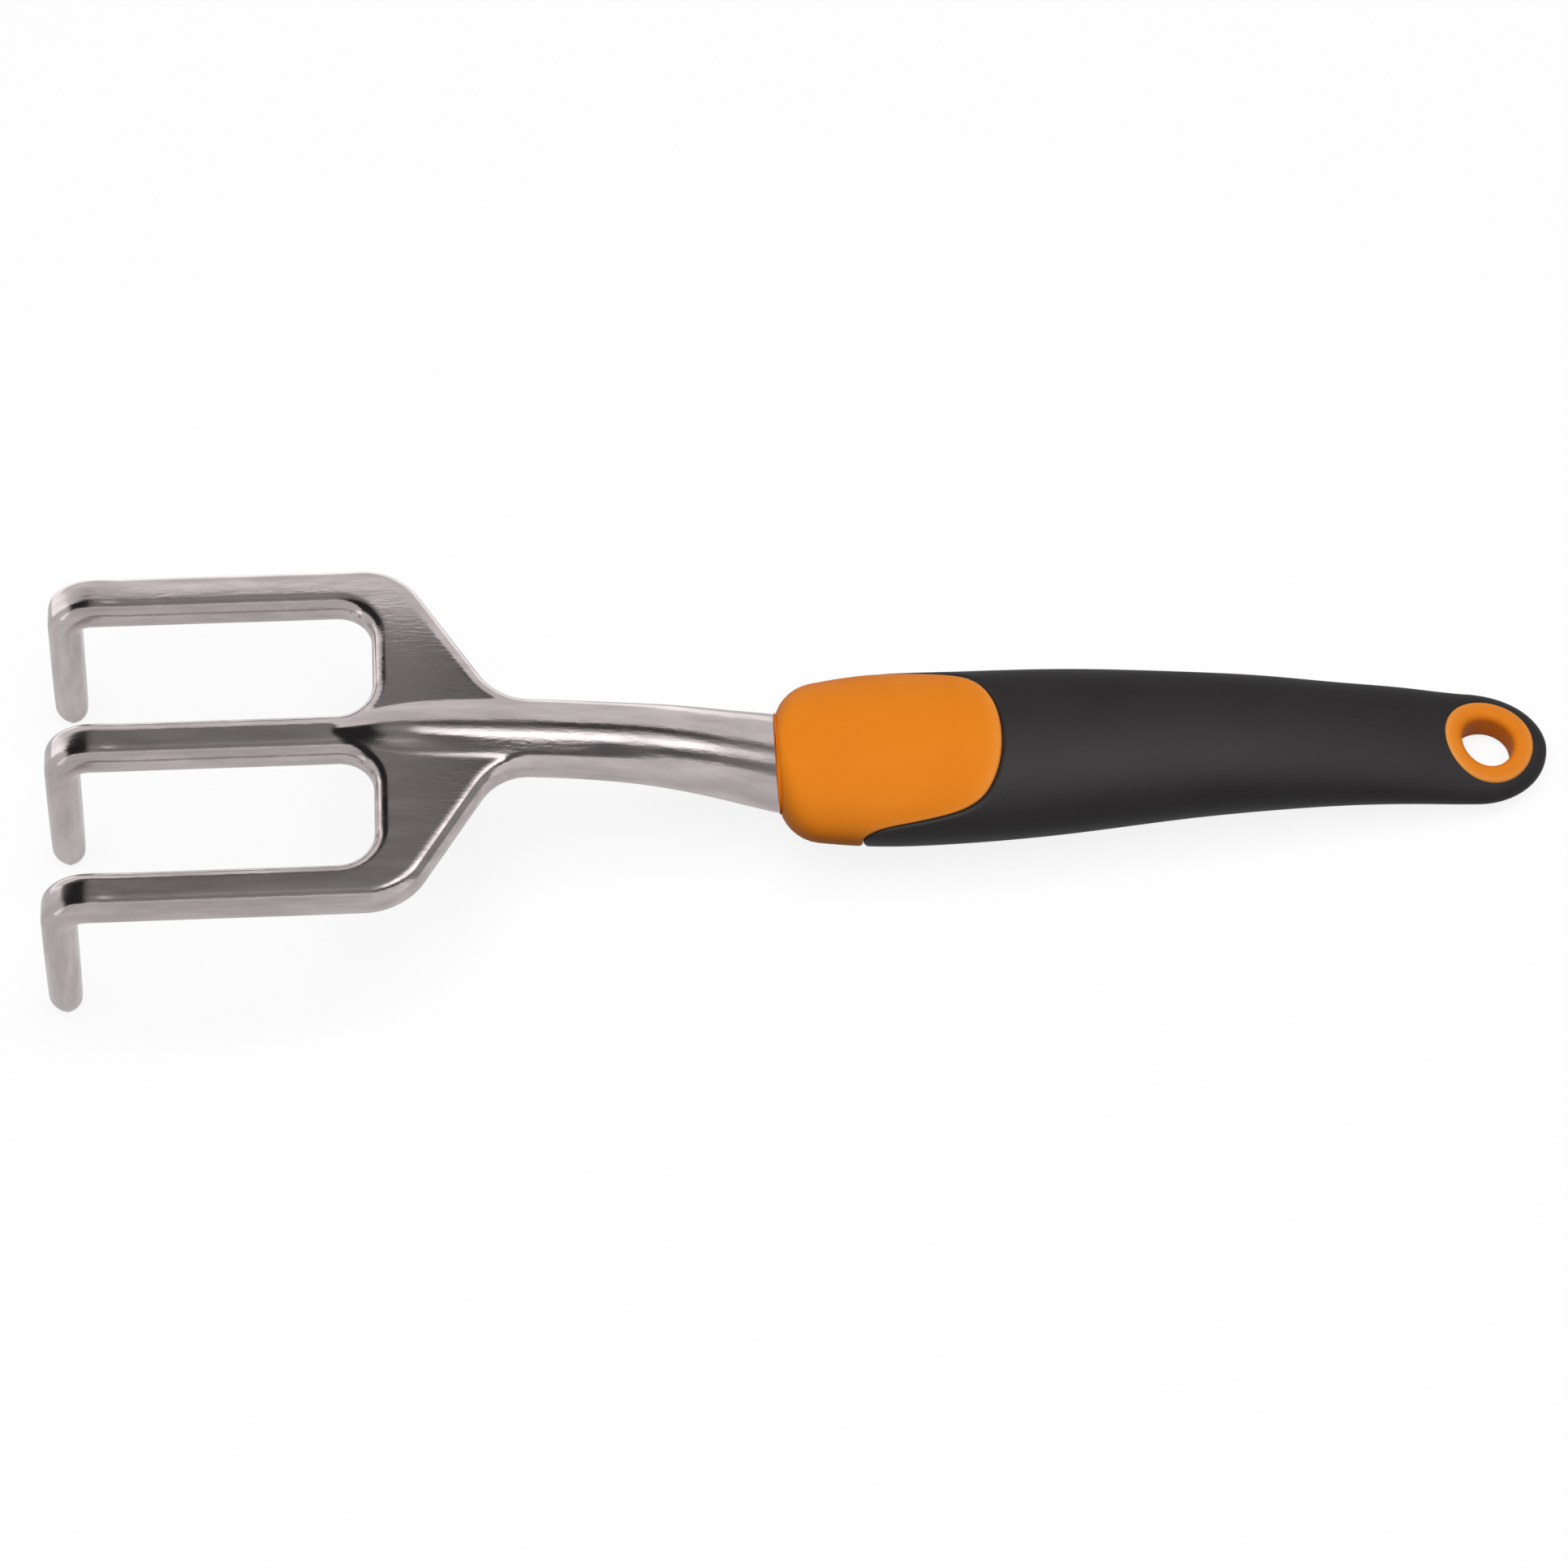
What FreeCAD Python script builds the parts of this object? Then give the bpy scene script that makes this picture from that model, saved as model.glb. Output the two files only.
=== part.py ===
# Hand cultivator: a cast aluminium three-tine head, insert-moulded into a rigid handle core that a
# soft grip is moulded over. Millimetres. The tool lies along X with its tines at -X and its handle
# at +X, upright on the tine tips and the handle's end. The origin is on the resting surface, under
# the middle of the tool. Places along the tool are distances from the collar's front face: "ahead"
# counts towards the tines, "behind" counts towards the hang hole.
import FreeCAD, Part
import math
import os

V = FreeCAD.Vector

# ---- driving dimensions: overall ----
HEAD_REACH = 144.6        # collar face to the foremost face of the hooks
HANDLE_LENGTH = 152.0     # collar face to the handle's rear end
COLLAR_X = (HEAD_REACH - HANDLE_LENGTH) / 2

# ---- tines ----
TINE_SPACING = 33.1       # centre to centre
TINE_WIDTH = 9.2
TINE_THICKNESS = 6.5
TINE_SLOPE = 3.7          # degrees, the bars fall towards the handle
TINE_TOP = 45.2           # height of the bars' top line above the foremost face
TINE_EDGE_RADIUS = 2.3
SIDE_TINES = (-1, 1)

# ---- hooks, the turned-down ends of the tines ----
HOOK_LEAN = 6.6           # degrees that the hooks lean forwards as they go down
HOOK_TIP_THICKNESS = 6.6
HOOK_TIP_WIDTH = 6.8
HOOK_TAPER_HEIGHT = 26.0  # the hooks narrow from here down
HOOK_BEND_RADIUS = 9.0    # outside of the bend
HOOK_THROAT_RADIUS = 2.6  # inside of the bend
HOOK_TIP_RADIUS = 3.1

# ---- web, which joins the tines to the neck ----
CROTCH_AHEAD = 77.0       # the slots between the tines end here
CROTCH_RADIUS = 7.0
SHOULDER_FOOT_AHEAD = 53.0  # where the slanted shoulder and the web root's edge would meet
SHOULDER_ANGLE = 58.0     # degrees between the shoulder and the tool's axis
SHOULDER_RADIUS = 13.7
WEB_ROOT_HALF_WIDTH = 7.9
WEB_ROOT_RADIUS = 11.3
WEB_ROOT_AHEAD = 43.0     # the web runs on into the neck to here
WEB_BEND_AHEAD = 62.0     # middle of the web's gentle downward bend
WEB_BEND_RADIUS = 286.0
WEB_ROOT_SLOPE = 11.0     # degrees

# ---- neck: (ahead, height of its middle, half width, half height) ----
NECK_SECTIONS = (
    (74.0, 37.6, 3.9, 3.7),
    (64.0, 36.5, 6.3, 4.1),
    (54.0, 35.1, 7.6, 4.4),
    (44.0, 33.3, 7.8, 4.8),
    (32.0, 30.6, 8.1, 5.1),
    (20.0, 26.9, 9.0, 5.9),
    (8.0, 21.7, 9.8, 6.8),
    (0.0, 18.0, 10.5, 7.2),
)
NECK_SOCKET_DEPTH = 7.0   # how far the neck's full section runs into the collar

# ---- tang, the part of the casting inside the handle ----
TANG_LENGTH = 72.0
TANG_ROOT = (13.0, 8.0)   # width, height at the neck
TANG_END = (9.0, 6.0)
TANG_END_HEIGHT = 14.4    # the tang slants down with the handle
TANG_EDGE_RADIUS = 1.2
TANG_KEY_RADIUS = 2.5     # holes that the core's plastic flows through
TANG_KEYS_BEHIND = (28.0, 54.0)

# ---- handle outside: (share of the length to the end's centre, height of the widest line,
#      half width, height above that line, depth below it) ----
HANDLE_SECTIONS = (
    (0.0, 17.7, 16.0, 8.8, 10.8),
    (0.12, 17.2, 18.3, 9.6, 12.2),
    (0.24, 16.3, 18.6, 9.5, 12.5),
    (0.41, 15.8, 17.8, 9.1, 12.0),
    (0.58, 15.0, 15.9, 8.4, 10.6),
    (0.70, 13.5, 14.7, 7.4, 9.2),
    (0.81, 11.1, 13.6, 6.1, 7.6),
    (0.91, 8.4, 13.1, 4.9, 6.1),
)
COLLAR_ROUNDING = 5.5
END_LENGTH = 14.5          # the rear end's round outline begins so far from its tip
END_HALF_WIDTH = 12.7
END_ABOVE = 4.2
END_BELOW = 5.2
END_DROOP = 5.0            # degrees that the rear end points down
END_ROUNDING = 0.3         # exponent: how late the end thins out to its tip
END_STEPS = (0.0, 0.3, 0.55, 0.75, 0.9, 0.985)

# ---- split between the core and the soft grip ----
COLLAR_DEPTH = 16.0        # the collar shows all round to here
THUMB_REST_LENGTH = 44.0   # the thumb rest's tip, on top of the handle
THUMB_REST_HALF_WIDTH = 15.3
THUMB_REST_TIP_RADIUS = 13.0
THUMB_REST_FLARE = 9.0     # length over which its sides spread out into the collar
THUMB_REST_TAPER = 0.6     # how much wider each side is at the flare than at the tip
GRIP_WALL = 3.0

# ---- hang hole ----
HANG_HOLE_FROM_END = 12.2
HANG_HOLE_RADIUS = 5.3
HANG_RING_WALL = 4.0

TALL = 120.0               # more than the tool's height or width
KNIFE = 400.0              # more than its length
TOUCH = 0.01               # places closer than this are the same


def ahead(distance):
    """X of a place that is so far in front of the collar face."""
    return COLLAR_X - distance


def behind(distance):
    """X of a place that is so far behind the collar face."""
    return COLLAR_X + distance


def meet(point_a, angle_a, point_b, angle_b):
    """Where two lines in a plane cross, each given by a point and its angle in degrees."""
    ax, ay = math.cos(math.radians(angle_a)), math.sin(math.radians(angle_a))
    bx, by = math.cos(math.radians(angle_b)), math.sin(math.radians(angle_b))
    across = ax * by - ay * bx
    along = ((point_b[0] - point_a[0]) * by - (point_b[1] - point_a[1]) * bx) / across
    return (point_a[0] + along * ax, point_a[1] + along * ay)


def rounded_outline(corners, place):
    """Closed wire through corners (u, v, radius), each rounded by its tangent arc."""
    edges = []
    ends = []
    for i, (u, v, radius) in enumerate(corners):
        here = V(u, v, 0)
        back = V(*corners[i - 1][:2], 0) - here
        on = V(*corners[(i + 1) % len(corners)][:2], 0) - here
        back.normalize()
        on.normalize()
        half = back.getAngle(on) / 2
        reach = radius / math.tan(half)
        bisector = (back + on).normalize()
        middle = here + bisector * (radius / math.sin(half) - radius)
        ends.append((here + back * reach, middle, here + on * reach, radius))
    for i, (first, middle, last, radius) in enumerate(ends):
        before = ends[i - 1][2]
        if before.distanceToPoint(first) > TOUCH / 100:
            edges.append(Part.LineSegment(place(before), place(first)).toShape())
        if radius > 0:
            edges.append(Part.Arc(place(first), place(middle), place(last)).toShape())
    return Part.Wire(edges)


def plan(p):
    return V(p.x, p.y, 0)


def side(p):
    return V(p.x, 0, p.y)


def front(p):
    return V(0, p.x, p.y)


def prism(wire, start, way):
    """Solid between the wire, moved to start, and the same wire moved on by way."""
    face = Part.Face(wire)
    face.translate(start)
    return face.extrude(way)


def head_plan():
    """The tines, web and web root seen from above, cut through the full height."""
    outer = TINE_SPACING + TINE_WIDTH / 2
    foot = (SHOULDER_FOOT_AHEAD, WEB_ROOT_HALF_WIDTH)
    shoulder = meet((0, outer), 0, foot, SHOULDER_ANGLE)
    half = [
        (ahead(HEAD_REACH + TINE_WIDTH), outer, 0),
        (ahead(shoulder[0]), outer, SHOULDER_RADIUS),
        (ahead(foot[0]), foot[1], WEB_ROOT_RADIUS),
        (ahead(WEB_ROOT_AHEAD), WEB_ROOT_HALF_WIDTH, 0),
    ]
    mirrored = [(u, -v, radius) for u, v, radius in reversed(half)]
    body = prism(rounded_outline(half + mirrored, plan), V(0, 0, 0), V(0, 0, TALL))
    for hand in SIDE_TINES:
        near = hand * TINE_WIDTH / 2
        far = hand * (TINE_SPACING - TINE_WIDTH / 2)
        slot = [
            (ahead(HEAD_REACH + 2 * TINE_WIDTH), near, 0),
            (ahead(CROTCH_AHEAD), near, CROTCH_RADIUS),
            (ahead(CROTCH_AHEAD), far, CROTCH_RADIUS),
            (ahead(HEAD_REACH + 2 * TINE_WIDTH), far, 0),
        ]
        body = body.cut(prism(rounded_outline(slot, plan), V(0, 0, 0), V(0, 0, TALL)))
    return body


def head_side():
    """The bars, bends and hooks seen from the side, cut through the full width."""
    fall = -TINE_SLOPE
    root_fall = -WEB_ROOT_SLOPE
    hook = 90 - HOOK_LEAN
    thick = TINE_THICKNESS / math.cos(math.radians(TINE_SLOPE))
    foremost = ahead(HEAD_REACH)
    top = (foremost, TINE_TOP)
    bottom = (foremost, TINE_TOP - thick)
    # the hooks' outer face reaches foremost at the tip's rounding, and leans back going up
    outer_foot = (foremost, HOOK_TIP_RADIUS)
    inner_foot = (foremost + HOOK_TIP_THICKNESS, HOOK_TIP_RADIUS)
    bend = meet(top, fall, outer_foot, hook)
    throat_top = (bend[0] + TINE_THICKNESS, bend[1])
    inner_lean = math.degrees(math.atan2(throat_top[1] - inner_foot[1], throat_top[0] - inner_foot[0]))
    throat = meet(bottom, fall, inner_foot, inner_lean)
    web_x = ahead(WEB_BEND_AHEAD)
    drop = math.tan(math.radians(TINE_SLOPE)) * (web_x - foremost)
    web_top = (web_x, TINE_TOP - drop)
    web_bottom = (web_x, TINE_TOP - thick - drop)
    root_x = ahead(WEB_ROOT_AHEAD)
    root_drop = math.tan(math.radians(WEB_ROOT_SLOPE)) * (root_x - web_x)
    tip_outer = meet(outer_foot, hook, (foremost, 0), 0)
    tip_inner = meet(inner_foot, inner_lean, (foremost, 0), 0)
    corners = [
        (root_x, web_top[1] - root_drop, 0),
        (*web_top, WEB_BEND_RADIUS),
        (*bend, HOOK_BEND_RADIUS),
        (*tip_outer, HOOK_TIP_RADIUS),
        (*tip_inner, HOOK_TIP_RADIUS),
        (*throat, HOOK_THROAT_RADIUS),
        (*web_bottom, WEB_BEND_RADIUS),
        (root_x, web_bottom[1] - root_drop, 0),
    ]
    return prism(rounded_outline(corners, side), V(0, -TALL / 2, 0), V(0, TALL, 0))


def hook_front(centre):
    """One hook seen from the front, narrowing to its tip, cut through the full length."""
    half = TINE_WIDTH / 2
    tip = HOOK_TIP_WIDTH / 2
    corners = [
        (centre + half, TALL, 0),
        (centre + half, HOOK_TAPER_HEIGHT, 0),
        (centre + tip, 0, HOOK_TIP_RADIUS),
        (centre - tip, 0, HOOK_TIP_RADIUS),
        (centre - half, HOOK_TAPER_HEIGHT, 0),
        (centre - half, TALL, 0),
    ]
    return prism(rounded_outline(corners, front), V(-KNIFE / 2, 0, 0), V(KNIFE, 0, 0))


def tine_head():
    """The tines and web: plan, side and front outlines cut from one block, with soft edges."""
    block = head_plan().common(head_side())
    hooks = hook_front(0)
    for hand in SIDE_TINES:
        hooks = hooks.fuse(hook_front(hand * TINE_SPACING))
    keep = Part.makeBox(KNIFE, TALL, TALL, V(ahead(HEAD_REACH - 2 * TINE_WIDTH), -TALL / 2, 0))
    block = block.common(hooks.fuse(keep)).removeSplitter().Solids[0]
    buried = ahead(WEB_ROOT_AHEAD) - TINE_EDGE_RADIUS / 2
    soft = [edge for edge in block.Edges if edge.BoundBox.XMax < buried]
    return block.makeFillet(TINE_EDGE_RADIUS, soft)


def oval(x, z, half_width, above, below):
    """Closed section across the tool: a half ellipse above its widest line and one below it."""
    centre = V(x, 0, z)
    upper = Part.Ellipse(centre + V(0, half_width, 0), centre + V(0, 0, above), centre)
    lower = Part.Ellipse(centre - V(0, half_width, 0), centre - V(0, 0, below), centre)
    return Part.Wire([upper.toShape(0, math.pi), lower.toShape(0, math.pi)])


def neck():
    """Oval bar that rises out of the web as a spine and curves down into the collar."""
    sections = [oval(ahead(d), z, half, tall, tall) for d, z, half, tall in NECK_SECTIONS]
    _, z, half, tall = NECK_SECTIONS[-1]
    return Part.makeLoft(sections, True, False).fuse(neck_end(0, z, half, tall))


def neck_end(start, z, half, tall):
    """The straight end of the neck that sits in the collar's socket."""
    face = Part.Face(oval(behind(start), z, half, tall, tall))
    return face.extrude(V(NECK_SOCKET_DEPTH, 0, 0))


def tang_section(at, size, height_above_ground):
    """Rounded rectangle across the tang, so far behind the collar face."""
    width, height = size
    corners = [
        (width / 2, height / 2, TANG_EDGE_RADIUS),
        (-width / 2, height / 2, TANG_EDGE_RADIUS),
        (-width / 2, -height / 2, TANG_EDGE_RADIUS),
        (width / 2, -height / 2, TANG_EDGE_RADIUS),
    ]
    wire = rounded_outline(corners, front)
    wire.translate(V(behind(at), 0, height_above_ground))
    return wire


def tang():
    """Tapered bar inside the handle, with key holes that stop the head pulling out."""
    root = tang_section(NECK_SOCKET_DEPTH / 2, TANG_ROOT, NECK_SECTIONS[-1][1])
    end = tang_section(TANG_LENGTH, TANG_END, TANG_END_HEIGHT)
    bar = Part.makeLoft([root, end], True, True)
    for at in TANG_KEYS_BEHIND:
        bar = bar.cut(Part.makeCylinder(TANG_KEY_RADIUS, TALL, V(behind(at), 0, 0)))
    return bar


def head_casting():
    return tine_head().fuse([neck(), tang()]).removeSplitter()


def end_fall(share):
    """Drop of the end's widest line at a share of the end's length."""
    return math.tan(math.radians(END_DROOP)) * END_LENGTH * share


def end_height():
    """Height of the widest line where the end begins, so that the end just touches the ground."""
    samples = [step / 100 for step in range(99)]
    return max(end_fall(t) + END_BELOW * (1 - t * t) ** END_ROUNDING for t in samples)


def handle_shape(inset):
    """The handle's outside, drawn in by inset: ovals that end in a flat, slightly drooping tongue."""
    centre = HANDLE_LENGTH - END_LENGTH
    ovals = []
    for share, z, half, above, below in HANDLE_SECTIONS:
        ovals.append(oval(behind(share * centre), z, half - inset, above - inset, below - inset))
    for t in END_STEPS:
        at = centre + (END_LENGTH - inset) * t / END_STEPS[-1]
        thin = (1 - t * t) ** END_ROUNDING
        ovals.append(oval(
            behind(at),
            end_height() - end_fall(t),
            (END_HALF_WIDTH - inset) * math.sqrt(1 - t * t),
            (END_ABOVE - inset) * thin,
            (END_BELOW - inset) * thin,
        ))
    return Part.makeLoft(ovals, True, False)


def handle_outside():
    """Whole handle with the collar's front edge rounded."""
    body = handle_shape(0)
    rim = [edge for edge in body.Edges if edge.BoundBox.XMax < behind(0) + TOUCH]
    return body.makeFillet(COLLAR_ROUNDING, rim)


def shown_core():
    """Space where the core reaches the surface: the collar, and the thumb rest on top."""
    collar = Part.makeBox(COLLAR_DEPTH + 1, TALL, TALL, V(behind(-1), -TALL / 2, 0))
    wide = HANDLE_SECTIONS[1][2]
    flared = THUMB_REST_HALF_WIDTH + THUMB_REST_TAPER
    half = [
        (behind(COLLAR_DEPTH / 2), wide, 0),
        (behind(COLLAR_DEPTH), wide, 0),
        (behind(COLLAR_DEPTH + THUMB_REST_FLARE), flared, 2 * THUMB_REST_FLARE),
        (behind(THUMB_REST_LENGTH), THUMB_REST_HALF_WIDTH, THUMB_REST_TIP_RADIUS),
    ]
    mirrored = [(u, -v, radius) for u, v, radius in reversed(half)]
    rest = prism(rounded_outline(half + mirrored, plan), V(0, 0, HANDLE_SECTIONS[1][1]), V(0, 0, TALL))
    return collar.fuse(rest)


def hang_cylinder(radius):
    """Cylinder through the rear end, square to its flat, around the hang hole's axis."""
    along = END_LENGTH - HANG_HOLE_FROM_END
    middle = V(
        behind(HANDLE_LENGTH - HANG_HOLE_FROM_END),
        0,
        end_height() - end_fall(along / END_LENGTH) + (END_ABOVE - END_BELOW) / 2,
    )
    droop = math.radians(END_DROOP)
    axis = V(math.sin(droop), 0, math.cos(droop))
    reach = 4 * END_BELOW
    return Part.makeCylinder(radius, 2 * reach, middle - axis * reach, axis)


def handle_split():
    """The handle divided into the rigid core and the soft grip around it, before the tang's bed."""
    outside = handle_outside()
    spine = handle_shape(GRIP_WALL)
    ring = hang_cylinder(HANG_HOLE_RADIUS + HANG_RING_WALL)
    rigid = outside.common(spine.fuse([shown_core(), ring]))
    bore = hang_cylinder(HANG_HOLE_RADIUS)
    return rigid.cut(bore), outside.cut(rigid)


def main():
    os.makedirs("parts", exist_ok=True)
    head = head_casting()
    rigid, grip = handle_split()
    nodes = {"head_casting": head, "handle_core": rigid.cut(head), "soft_grip": grip}
    for name, shape in nodes.items():
        solids = shape.Solids
        print(name, "solids", len(solids), "valid", shape.isValid(), "mm3", round(shape.Volume))
        Part.makeCompound(solids).exportStep("parts/" + name + ".step")


main()
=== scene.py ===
# %% [markdown]
# # A hand cultivator
# This lesson dresses a finished CAD model of a garden hand cultivator: a polished aluminium casting
# with three hooked tines, an orange handle core moulded round its tang, and a charcoal soft grip
# moulded over the core. The CAD model gives the sizes and places. Each shape here is a formula
# worked out with numpy and handed to Blender as a mesh, and each finish is built from nodes.

# %% Load the frame
import math

import bmesh
import bpy
import numpy as np
from mathutils import Matrix, Vector


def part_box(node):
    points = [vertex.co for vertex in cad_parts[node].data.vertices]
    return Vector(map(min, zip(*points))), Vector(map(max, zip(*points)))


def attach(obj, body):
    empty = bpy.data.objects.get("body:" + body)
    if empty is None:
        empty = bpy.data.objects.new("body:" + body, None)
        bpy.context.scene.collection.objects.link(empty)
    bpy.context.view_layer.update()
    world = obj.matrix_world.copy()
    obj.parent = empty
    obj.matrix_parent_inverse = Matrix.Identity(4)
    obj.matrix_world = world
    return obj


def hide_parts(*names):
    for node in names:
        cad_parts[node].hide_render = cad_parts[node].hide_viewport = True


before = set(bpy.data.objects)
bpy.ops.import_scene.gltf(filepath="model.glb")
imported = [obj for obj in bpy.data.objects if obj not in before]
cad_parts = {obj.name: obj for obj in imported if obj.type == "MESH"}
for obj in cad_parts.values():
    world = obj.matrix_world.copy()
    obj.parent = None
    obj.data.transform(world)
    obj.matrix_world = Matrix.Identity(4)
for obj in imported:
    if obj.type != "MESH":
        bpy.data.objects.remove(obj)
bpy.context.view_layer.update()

MM = 0.001

# %% [markdown]
# ## Where things are
# The collar's front face is the natural zero of the tool: the smith measures the head forward from
# it and the moulder measures the handle backward from it. The frame's boxes give that plane and
# both overall lengths, so the visual pieces always fit the CAD pieces they stand for.

# %% Main sizes, in millimetres
COLLAR_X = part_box("handle_core")[0].x / MM
REACH = COLLAR_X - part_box("head_casting")[0].x / MM
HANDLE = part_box("soft_grip")[1].x / MM - COLLAR_X
TINE_SPACING = 33.1
TINE_HALF_WIDTH = 4.6
HALF_THICKNESS = 3.25
print(f"head reach {REACH:.1f} mm, handle {HANDLE:.1f} mm, collar at x = {COLLAR_X:.1f} mm")

# %% [markdown]
# ## The camera
# A long lens about a metre away looks down on the tool from the front, 59 degrees above the
# ground, and is rolled a few degrees, as a product photographer holds it over a table. It comes
# first, so that every later piece can be looked at as it is made.

# %% Camera
def look_from(elevation, turn, roll, distance, target):
    """Camera matrix: its back axis points from the target to the camera at the elevation and turn,
    its right axis is level, and both its right and up axes are then turned by roll."""
    e, a, r = np.radians([elevation, turn, roll])
    back = Vector((math.sin(a) * math.cos(e), -math.cos(a) * math.cos(e), math.sin(e)))
    right = (-back).cross(Vector((0, 0, 1))).normalized()
    up = right.cross(-back)
    rolled_right = math.cos(r) * right - math.sin(r) * up
    rolled_up = math.sin(r) * right + math.cos(r) * up
    turned = Matrix((rolled_right, rolled_up, back)).transposed().to_4x4()
    return Matrix.Translation(target + back * distance) @ turned


camera_data = bpy.data.cameras.new("camera")
camera_data.sensor_width = 36.0
camera_data.lens = 113.8
camera = bpy.data.objects.new("camera", camera_data)
bpy.context.scene.collection.objects.link(camera)
camera.matrix_world = look_from(59.3, 0.558, 4.358, 0.977, Vector((-0.0026, 0, 0.0099)))
bpy.context.scene.camera = camera
print("camera at", [round(v, 3) for v in camera.location])

# %% [markdown]
# ## Two small tools for shapes
# Long tools like this are drawn straight and then bent: a shape is worked out along a distance
# `u`, across by `y` and up by `n`, and a side curve then says where each `u` lies and which way is
# up there. Measured stations along the curve are joined by a natural cubic spline, which has no
# jump in curvature, and a polished surface shows every such jump.

# %% Spline and rounding
def spline(at, stations, values):
    """Natural cubic spline through the stations: on each span a cubic whose value, slope and
    curvature agree with its neighbours, and whose curvature is nought at both ends."""
    x, f = np.asarray(stations, float), np.asarray(values, float)
    h, rise = np.diff(x), np.diff(f) / np.diff(x)
    system, right = np.eye(len(x)), np.zeros(len(x))
    rows = np.arange(1, len(x) - 1)
    system[rows, rows - 1], system[rows, rows], system[rows, rows + 1] = h[:-1], 2 * (h[:-1] + h[1:]), h[1:]
    right[rows] = 6 * (rise[1:] - rise[:-1])
    bend = np.linalg.solve(system, right)
    k = np.clip(np.searchsorted(x, at) - 1, 0, len(h) - 1)
    a, b = x[k + 1] - at, at - x[k]
    cubic = (bend[k] * a**3 + bend[k + 1] * b**3) / (6 * h[k])
    return cubic + (f[k] / h[k] - bend[k] * h[k] / 6) * a + (f[k + 1] / h[k] - bend[k + 1] * h[k] / 6) * b


def rounded(a, b, radius, lean=0.0):
    """Where two distances meet, both negative inside: the larger one, but past the rounding's
    centre of both, the distance to an arc of the radius. lean is the cosine between their normals."""
    p, q = a + radius, b + radius
    sine2 = 1 - lean * lean
    beside = (p - q * lean > 0) & (q - p * lean > 0)
    arc = np.sqrt(np.maximum((p * p + q * q - 2 * p * q * lean) / sine2, 0)) - radius
    return np.where(beside, arc, np.maximum(a, b))


def joined(a, b, radius, lean=0.0):
    """Union of two shapes with a hollow fillet of the radius: rounded, turned inside out."""
    return -rounded(-a, -b, radius, lean)


print("a right-angled corner rounded by 2:", float(rounded(np.array(0.0), np.array(0.0), 2.0)))

# %% [markdown]
# ## From formula to mesh
# The head branches into three tines, so no single grid of two parameters covers it. It is made
# another way: a distance formula is sampled on a block of cells, and every cell that the surface
# passes through gets one point, joined to its neighbours by four-sided faces. The points are then
# moved along the formula's slope until they lie on the surface itself, so reflections stay smooth.

# %% Surface from a distance formula
def cell_mesh(formula, low, high, step):
    """Points and quads of the surface formula(u, y, n) = 0: in each crossed cell the mean of the
    places where its edges cross, then three Newton steps along the gradient."""
    axes = [np.arange(a, b + s, s) for a, b, s in zip(low, high, step)]
    value = formula(*np.meshgrid(*axes, indexing="ij"))
    inside = value < 0
    nx, ny, nz = (n - 1 for n in value.shape)
    corners = np.array([(i, j, k) for i in (0, 1) for j in (0, 1) for k in (0, 1)])
    full = sum(inside[i:nx + i, j:ny + j, k:nz + k].astype(int) for i, j, k in corners)
    active = (full > 0) & (full < 8)
    cells = np.argwhere(active)
    number = np.full(active.shape, -1)
    number[active] = np.arange(len(cells))
    total, hits = np.zeros(cells.shape), np.zeros((len(cells), 1))
    for a in corners:
        for b in corners:
            if (b - a).sum() == 1 and (b >= a).all():
                va, vb = (value[tuple((cells + c).T)] for c in (a, b))
                cross = ((va < 0) != (vb < 0))[:, None]
                share = (va / np.where(va == vb, 1, va - vb))[:, None]
                total += np.where(cross, a + share * (b - a), 0)
                hits += cross
    points = np.array(low) + np.array(step) * (cells + total / hits)
    quads = []
    for axis in range(3):
        one = np.eye(3, dtype=int)
        far = np.roll(inside, -1, axis)
        edge = np.argwhere(inside != far)
        edge = edge[(edge[:, axis] < inside.shape[axis] - 1)]
        p, q = (axis + 1) % 3, (axis + 2) % 3
        edge = edge[(edge[:, p] > 0) & (edge[:, q] > 0) & (edge < np.array([nx, ny, nz])).all(axis=1)]
        ring = [edge - one[p] - one[q], edge - one[q], edge, edge - one[p]]
        quad = np.stack([number[tuple(c.T)] for c in ring], axis=1)
        outward = inside[tuple(edge.T)]
        quads.append(np.where(outward[:, None], quad, quad[:, ::-1]))
    small = 0.02
    for _ in range(3):
        slope = np.stack([(formula(*(points + small * e).T) - formula(*(points - small * e).T)) / (2 * small)
                          for e in np.eye(3)], axis=1)
        steep = np.maximum((slope * slope).sum(axis=1, keepdims=True), 0.05)
        points = points - np.clip(formula(*points.T)[:, None] * slope / steep, -0.3, 0.3)
    return points, np.concatenate(quads)


def new_mesh_object(name, points_mm, faces, attributes=None):
    """A smooth-shaded mesh object at the origin, with its place in its points, in metres."""
    mesh = bpy.data.meshes.new(name)
    mesh.from_pydata(np.asarray(points_mm) * MM, [], np.asarray(faces).tolist())
    for key, values in (attributes or {}).items():
        kind = "FLOAT_VECTOR" if values.ndim == 2 else "FLOAT"
        layer = mesh.attributes.new(key, kind, "POINT")
        layer.data.foreach_set("vector" if values.ndim == 2 else "value", values.astype(np.float32).ravel())
    mesh.shade_smooth()
    thing = bpy.data.objects.new(name, mesh)
    bpy.context.scene.collection.objects.link(thing)
    return thing


ball_points, _ = cell_mesh(
    lambda u, y, n: np.sqrt(u * u + y * y + n * n) - 5, (-6, -6, -6), (6, 6, 6), (1, 1, 1))
ball_radius = np.linalg.norm(ball_points, axis=1).mean()
print("test ball:", len(ball_points), "points, radius", np.round(ball_radius, 4))

# %% [markdown]
# ## The head's side curve
# Seen from the side, the casting rises out of the collar in a gooseneck, runs almost level through
# the web and along the tines, turns down through a tight bend and ends in a hook that leans
# forwards. The first part is a spline; the bend is an arc; the hook is a straight line.

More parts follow.
